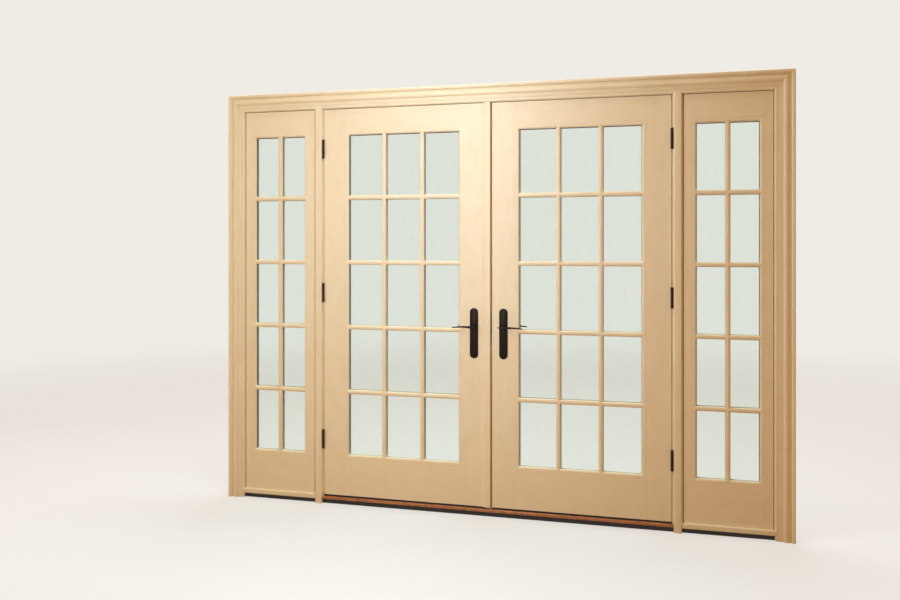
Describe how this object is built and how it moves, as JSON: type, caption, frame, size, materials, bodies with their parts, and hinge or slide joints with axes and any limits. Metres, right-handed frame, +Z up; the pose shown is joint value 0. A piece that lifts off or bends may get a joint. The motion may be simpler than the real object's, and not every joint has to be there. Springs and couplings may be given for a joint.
{
  "type": "french doors",
  "caption": "Hinged pair of glazed french doors with muntins, lever handles and fixed sidelights, in a rebated frame with moulded interior casing.",
  "frame": {"origin": "on the floor, under the middle of the frame's width and depth", "axes": "+X across the unit to the right seen from the room, +Y outdoors, +Z up"},
  "size_m": [2.953, 0.197, 2.229],
  "materials": {
    "cream_paint": "satin paint",
    "dark_bronze": "dark oil-rubbed bronze",
    "clear_glass": "polished",
    "spacer_metal": "dark anodised",
    "oak": "clear-coated oak",
    "dark_stain": "dark stain",
    "brown_seal": "matte",
    "lock_steel": "brushed"
  },
  "bodies": {
    "frame": {"left_jamb": "cream_paint", "left_post": "cream_paint", "left_ledge": "cream_paint", "left_casing": "cream_paint", "left_post_casing": "cream_paint", "left_sidelight_outer_stile": "cream_paint", "left_sidelight_inner_stile": "cream_paint", "left_sidelight_top_rail": "cream_paint", "left_sidelight_bottom_rail": "cream_paint", "left_sidelight_muntins": "cream_paint", "left_sidelight_panes": "clear_glass", "left_sidelight_spacer": "spacer_metal", "left_hinge_frame_leaves": "dark_bronze", "right_jamb": "cream_paint", "right_post": "cream_paint", "right_ledge": "cream_paint", "right_casing": "cream_paint", "right_post_casing": "cream_paint", "right_sidelight_outer_stile": "cream_paint", "right_sidelight_inner_stile": "cream_paint", "right_sidelight_top_rail": "cream_paint", "right_sidelight_bottom_rail": "cream_paint", "right_sidelight_muntins": "cream_paint", "right_sidelight_panes": "clear_glass", "right_sidelight_spacer": "spacer_metal", "right_hinge_frame_leaves": "dark_bronze", "hinge_pins": "dark_bronze", "head_jamb": "cream_paint", "head_casing": "cream_paint", "sill": "dark_stain", "threshold": "oak"},
    "left_leaf": {"left_door_hinge_stile": "cream_paint", "left_door_lock_stile": "cream_paint", "left_door_top_rail": "cream_paint", "left_door_bottom_rail": "cream_paint", "left_door_muntins": "cream_paint", "left_door_panes": "clear_glass", "left_door_spacer": "spacer_metal", "left_hinge_door_leaves": "dark_bronze", "left_handle_plates": "dark_bronze", "astragal": "cream_paint", "strike_plate": "dark_bronze", "meeting_seal": "brown_seal"},
    "right_leaf": {"right_door_hinge_stile": "cream_paint", "right_door_lock_stile": "cream_paint", "right_door_top_rail": "cream_paint", "right_door_bottom_rail": "cream_paint", "right_door_muntins": "cream_paint", "right_door_panes": "clear_glass", "right_door_spacer": "spacer_metal", "right_hinge_door_leaves": "dark_bronze", "right_handle_plates": "dark_bronze", "lock_case": "dark_bronze"},
    "left_handle": {"left_room_lever": "dark_bronze", "left_outdoor_lever": "dark_bronze"},
    "right_handle": {"right_room_lever": "dark_bronze", "right_outdoor_lever": "dark_bronze"},
    "lock_slide": {"lock_bolt": "lock_steel"},
    "top_slide": {"top_bolt": "lock_steel"},
    "bottom_slide": {"bottom_bolt": "lock_steel"}
  },
  "joints": [
    {"name": "left_door_swing", "type": "hinge", "parent": "frame", "child": "left_leaf", "pos_m": [-0.914, -0.065, 0], "axis": [0, 0, -1], "range_deg": [0, 110]},
    {"name": "right_door_swing", "type": "hinge", "parent": "frame", "child": "right_leaf", "pos_m": [0.914, -0.065, 0], "axis": [0, 0, 1], "range_deg": [0, 110]},
    {"name": "left_lever_turn", "type": "hinge", "parent": "left_leaf", "child": "left_handle", "pos_m": [-0.0775, -0.058, 0.977], "axis": [0, 1, 0], "range_deg": [-45, 45], "stiffness_Nm_per_rad": 6},
    {"name": "right_lever_turn", "type": "hinge", "parent": "right_leaf", "child": "right_handle", "pos_m": [0.0775, -0.058, 0.977], "axis": [0, -1, 0], "range_deg": [-45, 45], "stiffness_Nm_per_rad": 6},
    {"name": "lock_bolt_slide", "type": "slide", "parent": "right_leaf", "child": "lock_slide", "axis": [-1, 0, 0], "range_m": [-0.014, 0.014]},
    {"name": "top_bolt_slide", "type": "slide", "parent": "left_leaf", "child": "top_slide", "axis": [0, 0, 1], "range_m": [-0.018, 0.018]},
    {"name": "bottom_bolt_slide", "type": "slide", "parent": "left_leaf", "child": "bottom_slide", "axis": [0, 0, -1], "range_m": [-0.018, 0.018]}
  ],
  "couplings": [
    {"joint": "lock_bolt_slide", "follows": "right_lever_turn", "m_per_rad": 0.017825},
    {"joint": "top_bolt_slide", "follows": "left_lever_turn", "m_per_rad": 0.022918},
    {"joint": "bottom_bolt_slide", "follows": "left_lever_turn", "m_per_rad": 0.022918}
  ]
}
